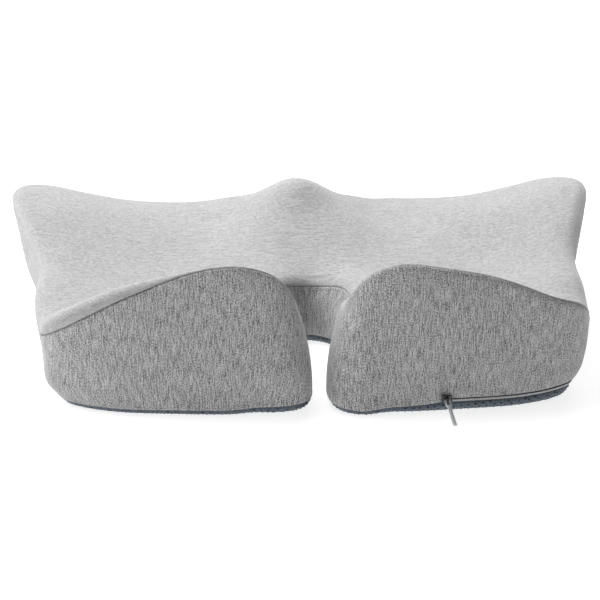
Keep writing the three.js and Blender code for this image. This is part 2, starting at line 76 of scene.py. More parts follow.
mirror = np.array([-1.0, 1.0, 1.0])
half_edge = np.array(EDGE, float)
whole_edge = np.vstack([half_edge, half_edge[-2:0:-1] * mirror])
TRUE_MM = (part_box("top_panel")[1][0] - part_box("top_panel")[0][0]) / 453.2


def edge_point(count):
    """Points of the closed smooth curve through the corners."""
    whole = np.floor(count).astype(int)
    t = (count - whole)[:, None]
    before, start, end, after = (whole_edge[(whole + k) % TURN] for k in (-1, 0, 1, 2))
    leave, arrive = (end - before) / 2, (after - start) / 2
    return (start + leave * t + (3 * (end - start) - 2 * leave - arrive) * t ** 2
            + (2 * (start - end) + leave + arrive) * t ** 3)


def ramp(value, low, high):
    t = np.clip((value - low) / (high - low), 0, 1)
    return t * t * (3 - 2 * t)


class Edge:
    """The cushion's edge at some stations: its place in plan, crown, outward way and lean."""

    def __init__(self, count):
        self.count = np.asarray(count, float)
        self.x, self.y, self.crown = edge_point(self.count).T
        along = edge_point(self.count + 0.01)[:, :2] - edge_point(self.count - 0.01)[:, :2]
        along /= np.linalg.norm(along, axis=1)[:, None]
        self.out_x, self.out_y = -along[:, 1], along[:, 0]
        in_gap = ramp(np.minimum(self.count, TURN - self.count) - GAP_CORNER, -1, 1)
        self.lean = SIDE_LEAN + (CUTOUT_LEAN - SIDE_LEAN) * in_gap


def plate_kernel(dx, dy):
    squared = dx * dx + dy * dy
    return squared * np.log(np.sqrt(np.maximum(squared, 1e-12))) / 1e4


inside = np.array([p for q in CROWN for p in ((q,) if q[0] == 0 else (q, (-q[0], q[1], q[2])))], float)
knots = np.vstack([whole_edge, inside])
plain = np.column_stack([np.ones(len(knots)), knots[:, :2] / 100])
system = np.zeros((len(knots) + 3, len(knots) + 3))
system[:len(knots), :len(knots)] = plate_kernel(
    knots[:, None, 0] - knots[None, :, 0], knots[:, None, 1] - knots[None, :, 1])
system[:len(knots), :len(knots)] += CROWN_STIFFNESS * np.eye(len(knots))
system[:len(knots), len(knots):] = plain
system[len(knots):, :len(knots)] = plain.T
crown_weights = np.linalg.solve(system, np.append(knots[:, 2], [0, 0, 0]))


def crown_height(x, y):
    """A thin plate passed through the heights of the edge and of the inside."""
    x, y = np.asarray(x, float), np.asarray(y, float)
    spread = plate_kernel(x[..., None] - knots[:, 0], y[..., None] - knots[:, 1])
    level, slope_x, slope_y = crown_weights[len(knots):]
    return spread @ crown_weights[:len(knots)] + level + slope_x * x / 100 + slope_y * y / 100


class Section:
    """The cushion's outer line at each station, from the crown down the wall to the base."""

    def __init__(self, edge, inset=0.0):
        self.edge = edge
        seam_z = crown_height(edge.x, edge.y) - EDGE_RADIUS
        turn = np.radians(np.linspace(0, 90, 31))[:, None]
        radius = EDGE_RADIUS - inset
        inner = crown_height(edge.x - edge.out_x * EDGE_RADIUS, edge.y - edge.out_y * EDGE_RADIUS)
        rim = seam_z + EDGE_RADIUS + (inner - seam_z - EDGE_RADIUS) * (1 - np.sin(turn))
        top_off = -EDGE_RADIUS + radius * np.sin(turn) + 0 * rim
        top_z = rim - EDGE_RADIUS + radius * np.cos(turn)
        down = np.linspace(0, 1, 41)[1:, None]
        wall_z = seam_z + (BASE_RADIUS - seam_z) * down
        wall_off = (-edge.lean * down + WALL_BULGE * 4 * down * (1 - down)) - inset
        curl = np.radians(np.linspace(0, 90, 25))[1:, None]
        foot = BASE_RADIUS - inset
        base_off = -edge.lean - BASE_RADIUS + foot * np.cos(curl)
        base_z = BASE_RADIUS - foot * np.sin(curl) + 0 * edge.x
        self.off = np.vstack([top_off, wall_off, base_off])
        self.z = np.vstack([top_z, wall_z, base_z])
        steps = np.hypot(np.diff(self.off, axis=0), np.diff(self.z, axis=0))
        self.length = np.vstack([0 * edge.x, np.cumsum(steps, axis=0)])
        self.turns = np.degrees(turn[:, 0])

    def columns(self):
        return range(len(self.edge.count))

    def at_turn(self, angle):
        """Lengths to this far round the edge's rounding. Past 90 they go on down the wall."""
        top = len(self.turns)
        past = np.radians(np.maximum(angle - 90, 0)) * EDGE_RADIUS
        return past + np.array([
            np.interp(angle[i], self.turns, self.length[:top, i]) for i in self.columns()])

    def at_height(self, z):
        top = len(self.turns)
        return np.array([
            np.interp(-z[i], -self.z[top:, i], self.length[top:, i]) for i in self.columns()])

    def points(self, length):
        """Places and outward ways, in rows, at these lengths down the section."""
        off, z, across, up = (np.empty_like(length) for _ in range(4))
        for i in self.columns():
            line = self.length[:, i]
            off[:, i] = np.interp(length[:, i], line, self.off[:, i])
            z[:, i] = np.interp(length[:, i], line, self.z[:, i])
            across[:, i] = -np.interp(length[:, i], line, np.gradient(self.z[:, i], line))
            up[:, i] = np.interp(length[:, i], line, np.gradient(self.off[:, i], line))
        size = np.hypot(across, up)
        across, up = across / size, up / size
        e = self.edge
        places = np.stack([e.x + e.out_x * off, e.y + e.out_y * off, z], axis=-1)
        ways = np.stack([e.out_x * across, e.out_y * across, up], axis=-1)
        return places, ways


fine_counts = np.linspace(0, TURN, 40 * TURN + 1)
fine_places = edge_point(fine_counts)[:, :2]
fine_lengths = np.append(0, np.cumsum(np.linalg.norm(np.diff(fine_places, axis=0), axis=1)))


def length_at(count):
    """How far round the edge a station lies, in millimetres."""
    return np.interp(count, fine_counts, fine_lengths)


def count_at(length):
    return np.interp(length, fine_lengths, fine_counts)


def even_counts(start, end, steps):
    return count_at(np.linspace(length_at(start), length_at(end), steps + 1))


class Ring:
    """Stations all the way round, and the grid that fills the plan inside them."""

    def __init__(self, across, centre, notch):
        self.across, self.centre, self.notch = across, centre, notch
        half = np.concatenate([
            even_counts(FRONT_MID, FRONT_CORNER, across)[:-1],
            even_counts(FRONT_CORNER, REAR_CORNER, centre + notch)[:-1],
            even_counts(REAR_CORNER, GAP_CORNER, across)[:-1],
            even_counts(GAP_CORNER, NOTCH_BACK, notch),
        ])
        self.half = len(half) - 1
        self.edge = Edge(np.concatenate([half, TURN - half[-2:0:-1]]))
        self.size = len(self.edge.count)

    def fill(self, rim, height, first):
        """Points inside the rim, and quads that face up, counting from vertex `first`."""
        across, centre, notch = self.across, self.centre, self.notch
        down = centre + notch
        front = rim[:across + 1]
        outer = rim[across:across + down + 1]
        rear = rim[across + down:2 * across + down + 1][::-1]
        mouth = rim[2 * across + down:self.half + 1][::-1]
        t = np.linspace(0, 1, centre + 1)[:, None]
        inner = np.vstack([front[0] + (mouth[0] - front[0]) * t, mouth[1:]])
        u = np.linspace(0, 1, across + 1)[None, :, None]
        v = np.linspace(0, 1, down + 1)[:, None, None]
        grid = (inner[:, None] * (1 - u) + outer[:, None] * u + front[None] * (1 - v) + rear[None] * v
                - (inner[0] * (1 - u) + outer[0] * u) * (1 - v)
                - (rear[0] * (1 - u) + rear[-1] * u) * v)
        index = np.full((down + 1, across + 1), -1)
        index[0] = np.arange(across + 1)
        index[:, across] = np.arange(across, across + down + 1)
        index[down] = np.arange(across + down, 2 * across + down + 1)[::-1]
        index[centre:, 0] = np.arange(2 * across + down, self.half + 1)[::-1]
        own = index < 0
        index[own] = first + np.arange(own.sum())
        points = grid[own].copy()
        points[:, 2] = height(points[:, 0], points[:, 1])
        shared = own.copy()
        shared[:, 1:] = False
        other = np.where(index < self.size, (self.size - index) % self.size, index)
        twins = own & ~shared
        other[twins] = first + own.sum() + np.arange(twins.sum())
        mirrored = grid[twins] * mirror
        mirrored[:, 2] = height(mirrored[:, 0], mirrored[:, 1])
        right = np.stack([index[:-1, :-1], index[1:, :-1], index[1:, 1:], index[:-1, 1:]], axis=-1)
        left = np.stack([other[:-1, :-1], other[:-1, 1:], other[1:, 1:], other[1:, :-1]], axis=-1)
        return np.vstack([points, mirrored]), np.vstack([right.reshape(-1, 4), left.reshape(-1, 4)])


def bands(rows, stations, closed, start=0):
    """Quads that face outwards between rows of stations, the highest row first."""
    spans = stations if closed else stations - 1
    i, j = np.arange(spans), (np.arange(spans) + 1) % stations
    return np.vstack([
        start + np.column_stack([(r + 1) * stations + j, (r + 1) * stations + i,
                                 r * stations + i, r * stations + j]) for r in range(rows - 1)])


def hump(value, middle, width):
    return np.exp(-((value - middle) / width) ** 2)


def lopsided(points):
    """The small unevenness of a filled cover. The rear sits a little to one side, its corners
    are fuller or slacker, and the ridge between the thighs is drawn in narrower at the front."""
    x, y, z = points[..., 0], points[..., 1], points[..., 2]
    rear = 1 / (1 + np.exp((y + 20) / 35))
    ridge = ramp(y, 80, 150) * np.clip(z / 50, 0, 1)
    inner_foot = hump(x, -30, 22) * hump(y, -168, 22) * (1 - ramp(z, 0, 40))
    outer_foot = (hump(x, 190, 28) - hump(x, -188, 28)) * hump(y, -142, 40) * (1 - ramp(z, 0, 20))
    moved = points.copy()
    moved[..., 0] -= (0.011 * np.abs(x) * rear
                      + 4.2 * hump(x, 196, 30) * hump(y, -140, 35) * hump(z, 52, 22)
                      + 3.2 * hump(x, -185, 30) * hump(y, -140, 40) * hump(z, 14, 11)
                      - 3.4 * hump(x, -200, 28) * hump(y, -135, 50) * hump(z, 48, 22)
                      - 2.6 * hump(x, -218, 28) * hump(y, 95, 75) * (1 - ramp(z, 45, 85))
                      - 2.2 * hump(x, -218, 28) * hump(y, 95, 75) * (1 - ramp(z, 0, 24))
                      + 3.0 * inner_foot + 6.5 * outer_foot)
    moved[..., 1] += 8.0 * inner_foot
    moved[..., 2] += (0.002 * x * rear * np.clip(z / 50, 0, 1)
                      + 6.5 * hump(x, 190, 22) * hump(y, -138, 32) * np.clip(z / 60, 0, 1)
                      - 4.4 * hump(x, 80, 30) * hump(y, -165, 32) * ramp(z, 20, 100)
                      - 2.8 * hump(x, -74, 36) * hump(y, -165, 32) * ramp(z, 20, 100)
                      - 4.0 * hump(x, 3, 21) * hump(y, 0, 22) * np.clip(z / 50, 0, 1)
                      - 2.2 * hump(x, 0, 22) * hump(y, 65, 48) * np.clip(z / 50, 0, 1)
                      + 2.4 * hump(x, 38, 22) * hump(y, 65, 48) * np.clip(z / 50, 0, 1)
                      + ridge * (1.5 * hump(x, -7, 12) - 4.3 * hump(x, 31, 15)
                                 - 2.5 * hump(x, 56, 14) - 2.2 * hump(x, -36, 14)))
    return moved


def solid(name, points, faces):
    """A smooth piece from points in millimetres."""
    mesh = bpy.data.meshes.new(name)
    mesh.from_pydata((np.asarray(points) * TRUE_MM).tolist(), [], np.asarray(faces).tolist())
    mesh.polygons.foreach_set("use_smooth", [True] * len(mesh.polygons))
    mesh.update()
    piece = bpy.data.objects.new(name, mesh)
    bpy.context.scene.collection.objects.link(piece)
    return piece


def closed_form(ring, rows, inset):
    """The whole cushion as one closed skin: its points and faces."""
    section = Section(ring.edge, inset)
    lengths = section.length[-1] * np.asarray(rows)[:, None]
    places, _ = section.points(lengths)
    points = places.reshape(-1, 3)
    top, top_faces = ring.fill(places[0], lambda x, y: crown_height(x, y) - inset, len(points))
    count = len(points) + len(top)
    base, base_faces = ring.fill(places[-1], lambda x, y: 0 * x + inset, count)
    last = (len(rows) - 1) * ring.size
    base_faces = np.where(base_faces < ring.size, base_faces + last, base_faces)[:, ::-1]
    sides = bands(len(rows), ring.size, True)
    return np.vstack([points, top, base]), np.vstack([sides, top_faces, base_faces])


# How far the filled cover swells between its seams. The seams and the base are held, the rest
# is blown out against the cloth's own stiffness, and the swelling is then limited.
SWELL_FRAMES = 20
SWELL_PRESSURE = 4.0
SWELL_OUT, SWELL_IN = 2.6, 1.2
SEAM_REACH, FOOT_REACH = 2.0, 9.0


def swollen():
    ring = Ring(24, 20, 25)
    rows = np.concatenate([[0, 0.05, 0.1, 0.14], np.linspace(0.2, 0.86, 15), [0.92, 0.96, 1]])
    points, faces = closed_form(ring, rows, 0)
    form = solid("cover_form", points, faces)
    height = points[:, 2] - crown_height(points[:, 0], points[:, 1]) + EDGE_RADIUS
    at_seam = np.abs(height) < SEAM_REACH
    at_seam[len(rows) * ring.size:] = False
    held = form.vertex_groups.new(name="held")
    held.add(np.flatnonzero(at_seam).tolist(), 0.9, "REPLACE")
    held.add(np.flatnonzero(points[:, 2] < FOOT_REACH).tolist(), 1.0, "REPLACE")
    cloth = form.modifiers.new("cloth", "CLOTH")
    knit = cloth.settings
    knit.quality = 6
    knit.mass = 0.3
    knit.tension_stiffness = knit.compression_stiffness = 12
    knit.shear_stiffness = 6
    knit.bending_stiffness = 2
    knit.use_pressure = True
    knit.uniform_pressure_force = SWELL_PRESSURE
    knit.vertex_group_mass = "held"
    knit.effector_weights.gravity = 0
    cloth.point_cache.frame_start = 1
    cloth.point_cache.frame_end = SWELL_FRAMES
    for number in range(1, SWELL_FRAMES + 1):
        bpy.context.scene.frame_set(number)
    shaped = form.evaluated_get(bpy.context.evaluated_depsgraph_get()).to_mesh()
    after = np.empty(len(shaped.vertices) * 3)
    shaped.vertices.foreach_get("co", after)
    normals = np.empty(len(shaped.vertices) * 3)
    form.data.vertices.foreach_get("normal", normals)
    moved = after.reshape(-1, 3) / TRUE_MM - points
    normals = normals.reshape(-1, 3)
    bulge = np.einsum("ij,ij->i", moved, normals)
    limit = np.where(bulge > 0, SWELL_OUT, SWELL_IN)
    bulge = limit * np.tanh(bulge / limit)
    bulge[points[:, 2] < 1] = 0
    bpy.context.scene.frame_set(1)
    bpy.data.objects.remove(form)
    tree = KDTree(len(points))
    for i, p in enumerate(points):
        tree.insert(p, i)
    tree.balance()
    return tree, bulge


swell_tree, swell = swollen()


def swelling(points):
    """How far the filled cover swells at these points, in millimetres."""
    if swell_tree is None:
        return np.zeros(points.shape[:-1])
    flat = points.reshape(-1, 3)
    out = np.empty(len(flat))
    for i, p in enumerate(flat):
        near = swell_tree.find_n(p, 6)
        weights = [1 / (gap + 1.0) ** 2 for _, _, gap in near]
        out[i] = sum(w * swell[k] for w, (_, k, _) in zip(weights, near)) / sum(weights)
    return out.reshape(points.shape[:-1])


def set_sockets(node, **values):
    for key, value in values.items():
        node.inputs[key].default_value = value


def new_material(name):
    """An empty material: its tree, its shader and its place on the piece."""
    made = bpy.data.materials.new(name)
    made.use_nodes = True
    tree = made.node_tree
    shader = tree.nodes["Principled BSDF"]
    place = tree.nodes.new("ShaderNodeTexCoord").outputs["Object"]
    return made, tree, shader, place


def speckle(tree, place, scale, turn=(0, 0, 0), detail=2.0, seed=0.0):
    """Smooth noise stretched by `scale`, in cells to the metre."""
    spread = tree.nodes.new("ShaderNodeMapping")
    spread.inputs["Location"].default_value = (seed, seed * 1.7, seed * 2.3)
    spread.inputs["Rotation"].default_value = turn
    spread.inputs["Scale"].default_value = scale
    tree.links.new(place, spread.inputs["Vector"])
    noise = tree.nodes.new("ShaderNodeTexNoise")
    noise.inputs["Scale"].default_value = 1.0
    noise.inputs["Detail"].default_value = detail
    noise.inputs["Roughness"].default_value = 0.55
    tree.links.new(spread.outputs["Vector"], noise.inputs["Vector"])
    return noise.outputs["Fac"]


def sharpened(tree, value, low, high, to_low=0.0, to_high=1.0):
    """A value drawn out smoothly between two ends."""
    node = tree.nodes.new("ShaderNodeMapRange")
    node.interpolation_type = "SMOOTHSTEP"
    set_sockets(node, **{"From Min": low, "From Max": high, "To Min": to_low, "To Max": to_high})
    tree.links.new(value, node.inputs["Value"])
    return node.outputs["Result"]


def reckon(tree, kind, first, second):
    """A sum or product of two values, either of which may be a plain number."""
    node = tree.nodes.new("ShaderNodeMath")
    node.operation = kind
    for socket, value in zip(node.inputs, (first, second)):
        if isinstance(value, (int, float)):
            socket.default_value = value
        else:
            tree.links.new(value, socket)
    return node.outputs[0]


def coloured(tree, shader, share, dark, light):
    """Gives the shader a colour between two, by this share of the light one."""
    node = tree.nodes.new("ShaderNodeMix")
    node.data_type = "RGBA"
    node.inputs[6].default_value = (*dark, 1)
    node.inputs[7].default_value = (*light, 1)
    tree.links.new(share, node.inputs[0])
    tree.links.new(node.outputs[2], shader.inputs["Base Color"])


def roughened(tree, shader, value, low, high, to_low, to_high):
    """Gives the shader a roughness that follows a value."""
    tree.links.new(sharpened(tree, value, low, high, to_low, to_high), shader.inputs["Roughness"])


def raised(tree, shader, height, strength, depth):
    """Gives the shader small bumps, `depth` metres deep."""
    node = tree.nodes.new("ShaderNodeBump")
    node.inputs["Strength"].default_value = strength
    node.inputs["Distance"].default_value = depth
    tree.links.new(height, node.inputs["Height"])
    tree.links.new(node.outputs["Normal"], shader.inputs["Normal"])


FOAM_INSET = 3.3
foam_rows = np.concatenate([
    [0, 0.03, 0.06, 0.09, 0.12], np.linspace(0.16, 0.88, 24), [0.91, 0.94, 0.97, 1]])
foam_points, foam_faces = closed_form(Ring(36, 34, 40), foam_rows, FOAM_INSET)
foam = solid("foam", lopsided(foam_points), foam_faces)

foam_look, tree, shader, place = new_material("memory_foam")
pores = sharpened(tree, speckle(tree, place, (1800, 1800, 1800)), 0.35, 0.65)
coloured(tree, shader, pores, (0.74, 0.68, 0.53), (0.86, 0.81, 0.68))
roughened(tree, shader, pores, 0, 1, 0.95, 0.8)
raised(tree, shader, pores, 0.4, 0.0004)
foam.data.materials.append(foam_look)
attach(foam, "cushion")
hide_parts("foam_core")

# ---- Top panel ----------------------------------------------------------------------------------
# The upper piece of the cover, a thick stretch knit of light and mid grey yarns. It is cut to the
# plan of the cushion and sewn, inside out, to the boxing that goes round the sides.

# Where the panel ends on the rounding of the edge: 0 is on the crown and 90 is on the wall. Over
# the rear lobes the seam creeps up towards the crest, more on the right one than on the left,
# and on the left one's outer shoulder it drops down the wall.
SEAM_TURN = [
    (0, 90), (8.2, 90), (8.7, 80), (9, 64), (9.5, 50), (10, 46), (11, 46), (12, 46), (13, 48),
    (14, 56), (16, 62), (18, 70), (20, 62), (22, 55), (23, 48), (24, 46), (24.6, 44), (25, 58),
    (25.5, 88), (26, 106), (26.6, 112), (27, 108), (27.5, 98), (28.2, 90), (36, 90),
]
# How hard the seam pulls in: it lies almost flat beside the cut-out and down the left side.
SEAM_PULL = [
    (0, 1), (9, 1), (10, 0.8), (10.6, 0.3), (13, 0.25), (14, 0.2), (16.6, 0.25), (18, 0.6), (19, 0.5),
    (22, 0.4), (23, 0.7), (24, 1), (27, 1), (28, 0.5), (29, 0.15), (33, 0.15), (35, 1), (36, 1),
]
SEAM_GAP = 0.15
CLOTH_THICK = 1.3
top_seam_rows = np.array([0, 0.1, 0.2, 0.31, 0.43, 0.55, 0.66, 0.75, 0.82, 0.88, 0.92, 0.955, 0.98, 1])


def seam_turn(count):
    return np.interp(count, *zip(*SEAM_TURN))


def seam_pull(count):
    return np.interp(count, *zip(*SEAM_PULL))


def gathered(gap):
    """How a sewn cloth dips into its seam and rounds over beside it, by distance from it."""
    return -1.0 * hump(gap, 0, 0.7) + 0.2 * hump(gap, 1.9, 1.2)


def rumpled(points):
    """Creases and soft hollows: gathers behind the cut-out, a pucker over the zip's end."""
    x, y, z = points[..., 0], points[..., 1], points[..., 2]
    gather = (0.7 * hump(x, 6, 30) * hump(y, 7, 12)
              * np.sin(2 * np.pi * (y + 0.12 * x + 1.5 * np.sin(x / 9)) / 6.5))
    above_zip = hump(y, -170, 25) * ramp(z, 10, 18) * (1 - ramp(z, 28, 50))
    pucker = above_zip * (0.9 * hump(x, 82.5, 3) - 1.5 * hump(x, 87, 2.2))
    soft = 0.45 * np.sin(x / 19 + 1.3 * np.sin(y / 31)) * np.sin(y / 23 + z / 17 + 0.6)
    return gather + pucker + soft


ring = Ring(48, 46, 54)
section = Section(ring.edge)
seam_at = section.at_turn(seam_turn(ring.edge.count))
rim_lengths = (seam_at - SEAM_GAP) * top_seam_rows[:, None]
places, ways = section.points(rim_lengths)
crown_points, crown_faces = ring.fill(places[0], crown_height, places.reshape(-1, 3).shape[0])
slope_x = (crown_height(crown_points[:, 0] + 1, crown_points[:, 1])
           - crown_height(crown_points[:, 0] - 1, crown_points[:, 1])) / 2
slope_y = (crown_height(crown_points[:, 0], crown_points[:, 1] + 1)
           - crown_height(crown_points[:, 0], crown_points[:, 1] - 1)) / 2
crown_ways = np.column_stack([-slope_x, -slope_y, np.ones(len(slope_x))])
crown_ways /= np.linalg.norm(crown_ways, axis=1)[:, None]
top_points = np.vstack([places.reshape(-1, 3), crown_points])
top_ways = np.vstack([ways.reshape(-1, 3), crown_ways])
# The foam stands fuller behind the left lobe's seam, so the panel rolls up over it there.
ROLL_START = 5.0
from_seam = np.full(len(top_points), 20.0)
from_seam[:rim_lengths.size] = (seam_at - rim_lengths).reshape(-1)
roll = (2.6 * hump(top_points[:, 0], -150, 36) * hump(top_points[:, 1], -160, 13)
        + 4.5 * hump(top_points[:, 0], -176, 22) * hump(top_points[:, 1], -141, 18))
roll *= 1 - hump(from_seam, 0, ROLL_START)
lift = swelling(top_points) + rumpled(top_points) + roll
lift[:rim_lengths.size] += (seam_pull(ring.edge.count) * gathered(seam_at - rim_lengths)).reshape(-1)
top_points = lopsided(top_points + top_ways * lift[:, None])
top_faces = np.vstack([bands(len(top_seam_rows), ring.size, True), crown_faces])
top_panel = solid("top_panel_cloth", top_points, top_faces)


def give_thickness(piece, millimetres):
    shell = piece.modifiers.new("thickness", "SOLIDIFY")
    shell.thickness = millimetres * TRUE_MM
    shell.offset = -1
    shell.use_even_offset = False


def per_metre(sizes):
    return [1000 / size for size in sizes]


def heathered(name, dark, light, short, long, share, turn=0.0, on_cloth=False):
    """A knit of mixed yarns: short and long flecks, in millimetres, along its rows of loops."""
    made, tree, shader, place = new_material(name)
    if on_cloth:
        flat = tree.nodes.new("ShaderNodeUVMap")
        flat.uv_map = "cloth"
        place = flat.outputs["UV"]
    turn = (0, 0, math.radians(turn))
    small = sharpened(tree, speckle(tree, place, per_metre(short), turn, 1.0), 0.35, 0.65)
    streak = sharpened(tree, speckle(tree, place, per_metre(long), turn, 1.0, 7.0), 0.35, 0.65)
    cloud = speckle(tree, place, (28, 28, 28), (0, 0, 0), 3.0, 3.0)
    mixed = reckon(tree, "ADD", reckon(tree, "MULTIPLY", small, share[0]),
                   reckon(tree, "MULTIPLY", streak, share[1]))
    mixed = reckon(tree, "ADD", mixed, reckon(tree, "MULTIPLY", cloud, share[2]))
    coloured(tree, shader, mixed, dark, light)
    roughened(tree, shader, small, 0, 1, 0.96, 0.84)
    loops = speckle(tree, place, per_metre(0.55 * np.array(short)), turn, 1.0, 11.0)
    raised(tree, shader, reckon(tree, "ADD", loops, small), 0.45, 0.00035)
    set_sockets(shader, **{"Sheen Weight": 0.4, "Sheen Roughness": 0.4, "Specular IOR Level": 0.15})
    return made


top_look = heathered("top_knit", (0.30, 0.30, 0.302), (0.525, 0.525, 0.527), (2.4, 1.8, 0.7),
                      (12.0, 2.2, 0.9), (0.42, 0.33, 0.2))
top_panel.data.materials.append(top_look)
give_thickness(top_panel, CLOTH_THICK)
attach(top_panel, "cushion")
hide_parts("top_panel")

# ---- Boxing -------------------------------------------------------------------------------------
# The band of the same knit that goes round the sides, with its rows of loops upright. It is two
# lengths, joined at the front centre and beside the middle of the cut-out's back. Its lower edge
# is sewn to the base, or turned under as a hem where it hangs over the zip.

# The height of the boxing's lower edge where it is sewn to the base, in millimetres. It sits
# lower on the rear lobes, where the cover is pulled down and under.
BASE_SEAM = [
    (0, 7.4), (9, 7.6), (11.2, 7.6), (11.5, 6.2), (12, 4.8), (13, 2.8), (14, 4.5), (16, 6.4),
    (20, 6.4), (22, 6.2), (23, 5.5), (24, 4.2), (26, 3.4), (27, 3.2), (28, 5.5), (29, 7.2), (36, 7.4),
]
BACK_JOIN = 18.16
HEM_Z = 11.2
# The stations where the hem comes down to the base: past the slider, and on the left side.
slider_low, slider_high = (np.array(corner) / TRUE_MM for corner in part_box("slider_body"))
slider_place = (slider_low + slider_high) / 2
near_slider = np.linalg.norm(
    edge_point(np.linspace(10, 12, 801))[:, :2] - slider_place[:2], axis=1).argmin()
ZIP_SHUT = 10 + near_slider * 2 / 800 + 0.03
ZIP_OPEN = TURN - 8.82
side_steps = np.array([0, 0.3, 0.7, 1.2, 1.9, 2.7, 3.8, 5.4, 8.0])


def along_zip(count):
    """A station's place along the zip, which runs round by the front: past 0 it goes negative."""
    return np.where(count > TURN / 2, count - TURN, count)


def base_seam(count):
    return np.interp(count, *zip(*BASE_SEAM))


def over_zip(count):
    """1 where the hem hangs over the zip, 0 where the boxing is sewn to the base."""
    place = along_zip(count)
    opened = ramp(place, ZIP_OPEN - TURN - 0.05, ZIP_OPEN - TURN)
    return opened * (1 - ramp(place, ZIP_SHUT, ZIP_SHUT + 0.05))


def boxing_counts(start, end):
    """Stations along a length of boxing, closer together beside its two joins."""
    first, last = length_at(start), length_at(end)
    middle = np.arange(first + 8, last - 8, 3.3)[1:]
    steps = [count_at(p) for p in (first + side_steps, middle, (last - side_steps)[::-1])]
    near_end = np.linspace(-0.02, 0.07, 10)
    turns = np.concatenate([ZIP_SHUT + near_end, ZIP_OPEN + near_end])
    extra = turns[(turns > start + 0.2) & (turns < end - 0.2)]
    return np.sort(np.concatenate(steps + [extra]))


def boxing(name, start, end):
    edge = Edge(boxing_counts(start, end))
    section = Section(edge)
    top = section.at_turn(seam_turn(edge.count)) + SEAM_GAP
    hem = over_zip(edge.count)
    low_z = base_seam(edge.count) + 0.5
    low = section.at_height(low_z + (HEM_Z - low_z) * hem)
    tall = low - top
    near = side_steps[:, None] + 0 * tall
    body = np.linspace(0, 1, 34)[1:-1, None]
    lengths = np.vstack([top + near, top + 8 + (tall - 16) * body, (low - near)[::-1]])
    places, ways = section.points(lengths)
    along = length_at(edge.count)
    from_join = np.minimum(along - length_at(start), length_at(end) - along)
    lift = swelling(places) + rumpled(places) + seam_pull(edge.count) * gathered(lengths - top)
    lift += gathered(low - lengths) * (1 - 0.75 * hem)
    lift += 0.7 * gathered(from_join)[None, :]
    flat = places + ways * lift[..., None]
    rows = len(lengths)
    faces = bands(rows, len(edge.count), False)
    piece = solid(name, lopsided(flat).reshape(-1, 3), faces)
    corners = np.empty(len(piece.data.loops), int)
    piece.data.loops.foreach_get("vertex_index", corners)
    on_cloth = np.stack([along + 0 * lengths, lengths], axis=-1).reshape(-1, 2)
    piece.data.uv_layers.new(name="cloth").data.foreach_set("uv", (on_cloth[corners] * TRUE_MM).ravel())
    give_thickness(piece, CLOTH_THICK)
    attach(piece, "cushion")
    return piece


def upright_knit(name, turn):
    return heathered(name, (0.03, 0.03, 0.031), (0.735, 0.735, 0.737), (0.75, 1.0, 0.75),
                     (0.6, 10.0, 0.6), (0.56, 0.36, 0.04), turn, True)


boxing_right = boxing("boxing_cloth_right", 0.0, BACK_JOIN)
boxing_right.data.materials.append(upright_knit("boxing_knit_right", 0.0))
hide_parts("boxing_right")
boxing_left = boxing("boxing_cloth_left", BACK_JOIN, float(TURN))
boxing_left.data.materials.append(upright_knit("boxing_knit_left", -4.0))
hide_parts("boxing_left")

# ---- Base panel ---------------------------------------------------------------------------------
# A blue-grey woven cloth under the cushion, turned up round the edge to meet the boxing. Small
# dots of dark rubber are printed on it so that it doesn't slide on a chair.

BASE_LIFT = 0.25
base_steps = np.array([0, 0.08, 0.2, 0.35, 0.5, 0.65, 0.8, 0.92, 1])
base_top = section.at_height(base_seam(ring.edge.count))
base_full = section.length[-1]
base_lengths = base_top + (base_full - base_top) * base_steps[:, None]
places, ways = section.points(base_lengths)
sunk = -1.3 * np.exp(-((base_lengths - base_top) / 1.3) ** 2)
places = places + ways * sunk[..., None]
rim_points = places.reshape(-1, 3)
flat_points, flat_faces = ring.fill(places[-1], lambda x, y: 0 * x, len(rim_points))
last = (len(base_steps) - 1) * ring.size
flat_faces = np.where(flat_faces < ring.size, flat_faces + last, flat_faces)[:, ::-1]
base_points = np.vstack([rim_points, flat_points])
base_points[:, 2] += BASE_LIFT
base_cloth = solid("base_cloth", lopsided(base_points),
                   np.vstack([bands(len(base_steps), ring.size, True), flat_faces]))

base_look, tree, shader, place = new_material("non_slip_cloth")
weave = sharpened(tree, speckle(tree, place, (1500, 1500, 1500), (0, 0, math.radians(45)), 1.0), 0.3, 0.7)
coloured(tree, shader, weave, (0.072, 0.092, 0.112), (0.175, 0.207, 0.238))
roughened(tree, shader, weave, 0, 1, 0.95, 0.8)
raised(tree, shader, weave, 0.4, 0.0003)
set_sockets(shader, **{"Sheen Weight": 0.15, "Specular IOR Level": 0.2})
base_cloth.data.materials.append(base_look)
give_thickness(base_cloth, 1.0)
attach(base_cloth, "cushion")
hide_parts("base_panel")

# ---- Non-slip dots ------------------------------------------------------------------------------
# Round dots of dark rubber, printed on the base cloth in staggered rows before it was cut, so the
# pattern runs on over the turned-up edge. Each stands about a third of a millimetre proud.

DOT_PITCH = 5.4
DOT_ROW = 2.9
DOT_WIDTH = 1.9
DOT_SINK = 0.1


